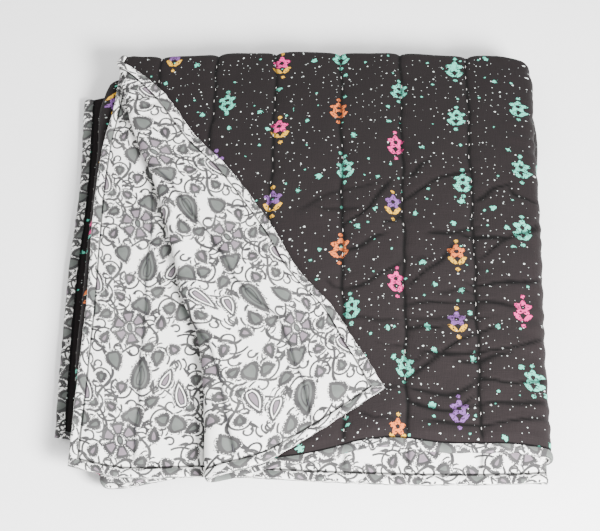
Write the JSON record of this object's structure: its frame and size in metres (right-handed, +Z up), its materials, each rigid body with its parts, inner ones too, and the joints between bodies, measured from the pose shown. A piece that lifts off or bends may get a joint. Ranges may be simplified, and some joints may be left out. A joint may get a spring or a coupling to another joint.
{
  "type": "folded quilted throw",
  "caption": "Cotton throw quilted in straight channels and folded into a flat block, with one corner turned back to show its floral reverse.",
  "frame": {"origin": "centre of the folded block's footprint, on the surface it lies on", "axes": "+Z up through the stacked layers, +Y towards the far fold, +X towards the right side fold, away from the bound side edges and the turned-back corner"},
  "size_m": [0.6236, 0.6405, 0.0804],
  "materials": {
    "charcoal_cotton": "matte",
    "cream_cotton": "matte",
    "binding_cotton": "matte"
  },
  "bodies": {
    "root": {"face_panel": "charcoal_cotton", "backing_panel": "cream_cotton", "binding": "binding_cotton"}
  },
  "joints": []
}
